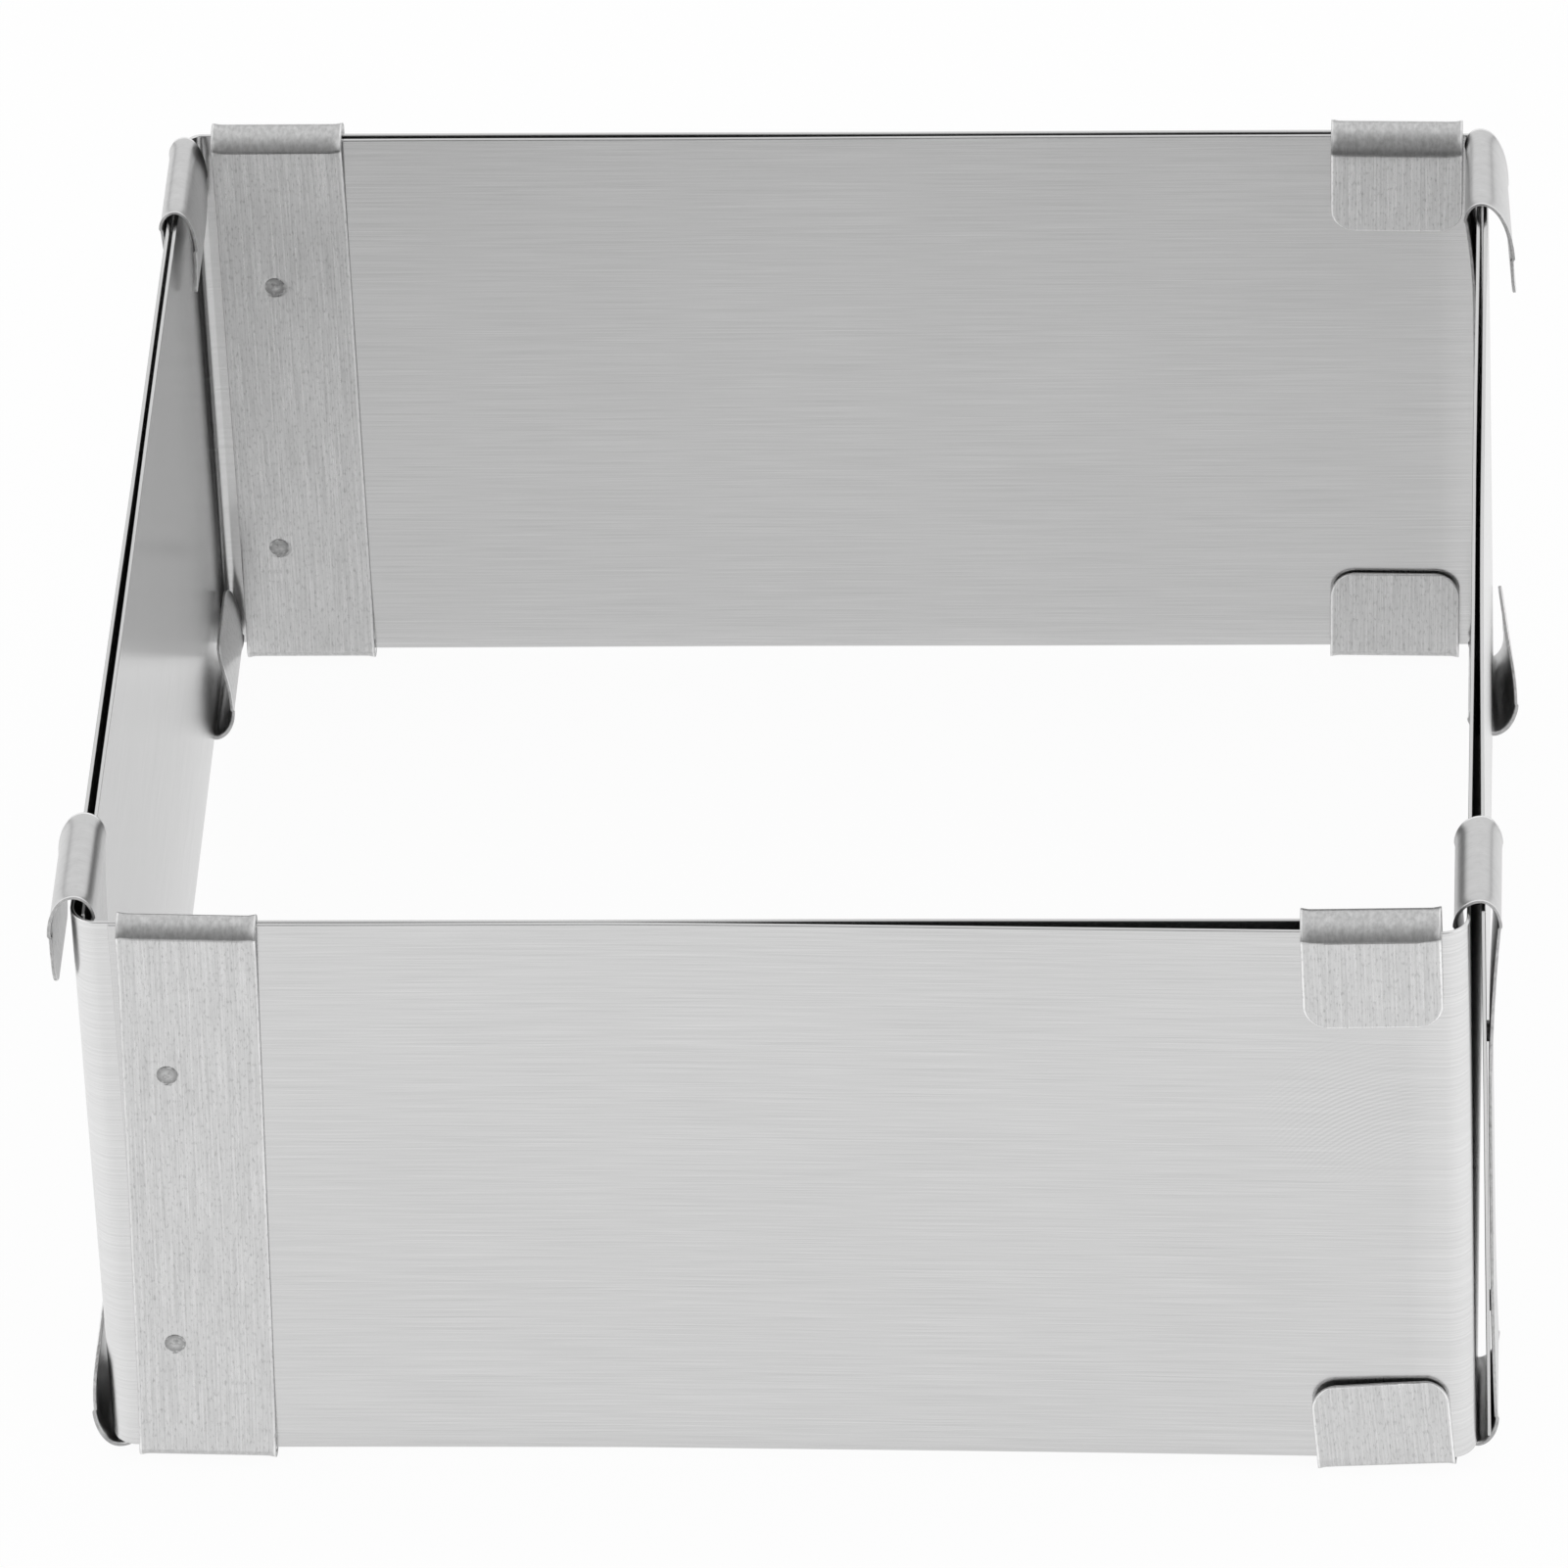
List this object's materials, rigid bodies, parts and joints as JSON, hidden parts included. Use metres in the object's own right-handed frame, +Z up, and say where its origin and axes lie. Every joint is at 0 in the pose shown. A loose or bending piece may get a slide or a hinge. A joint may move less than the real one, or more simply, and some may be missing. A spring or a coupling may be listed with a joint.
{
  "type": "adjustable square mousse frame",
  "caption": "Open square pastry frame of bent stainless sheets that slide through each other's hooked straps, so its width and depth can be set.",
  "frame": {"origin": "middle of the box that the frame fills as pictured, on the surface it stands on", "axes": "+Z up, +X along the front to the right as seen from the front, +Y from the front to the back"},
  "size_m": [0.184, 0.1784, 0.0878],
  "materials": {
    "panel_steel": "stainless sheet with a fine brushed grain along its length",
    "strap_steel": "stainless strip with a grain along the strap and dull folds",
    "weld_steel": "dull spot weld"
  },
  "bodies": {
    "front_left": {"front_left_panel": "panel_steel", "front_left_outer_strap": "strap_steel", "front_left_outer_weld_upper": "weld_steel", "front_left_outer_weld_lower": "weld_steel", "front_left_inner_strap": "strap_steel", "front_left_inner_weld_upper": "weld_steel", "front_left_inner_weld_lower": "weld_steel"},
    "front_right": {"front_right_panel": "panel_steel", "front_right_outer_strap": "strap_steel", "front_right_outer_weld_upper": "weld_steel", "front_right_outer_weld_lower": "weld_steel", "front_right_inner_strap": "strap_steel", "front_right_inner_weld_upper": "weld_steel", "front_right_inner_weld_lower": "weld_steel"},
    "back_right": {"back_right_panel": "panel_steel", "back_right_outer_strap": "strap_steel", "back_right_outer_weld_upper": "weld_steel", "back_right_outer_weld_lower": "weld_steel", "back_right_inner_strap": "strap_steel", "back_right_inner_weld_upper": "weld_steel", "back_right_inner_weld_lower": "weld_steel"},
    "back_left": {"back_left_panel": "panel_steel", "back_left_outer_strap": "strap_steel", "back_left_outer_weld_upper": "weld_steel", "back_left_outer_weld_lower": "weld_steel", "back_left_inner_strap": "strap_steel", "back_left_inner_weld_upper": "weld_steel", "back_left_inner_weld_lower": "weld_steel"}
  },
  "joints": [
    {"name": "width_slide", "type": "slide", "parent": "front_left", "child": "front_right", "axis": [1, 0, 0], "range_m": [0, 0.1295]},
    {"name": "depth_slide", "type": "slide", "parent": "front_left", "child": "back_left", "axis": [0, 1, 0], "range_m": [0, 0.1325]},
    {"name": "right_depth_slide", "type": "slide", "parent": "front_right", "child": "back_right", "axis": [0, 1, 0], "range_m": [0, 0.1325]}
  ],
  "couplings": [
    {"joint": "right_depth_slide", "follows": "depth_slide", "ratio": 1}
  ]
}
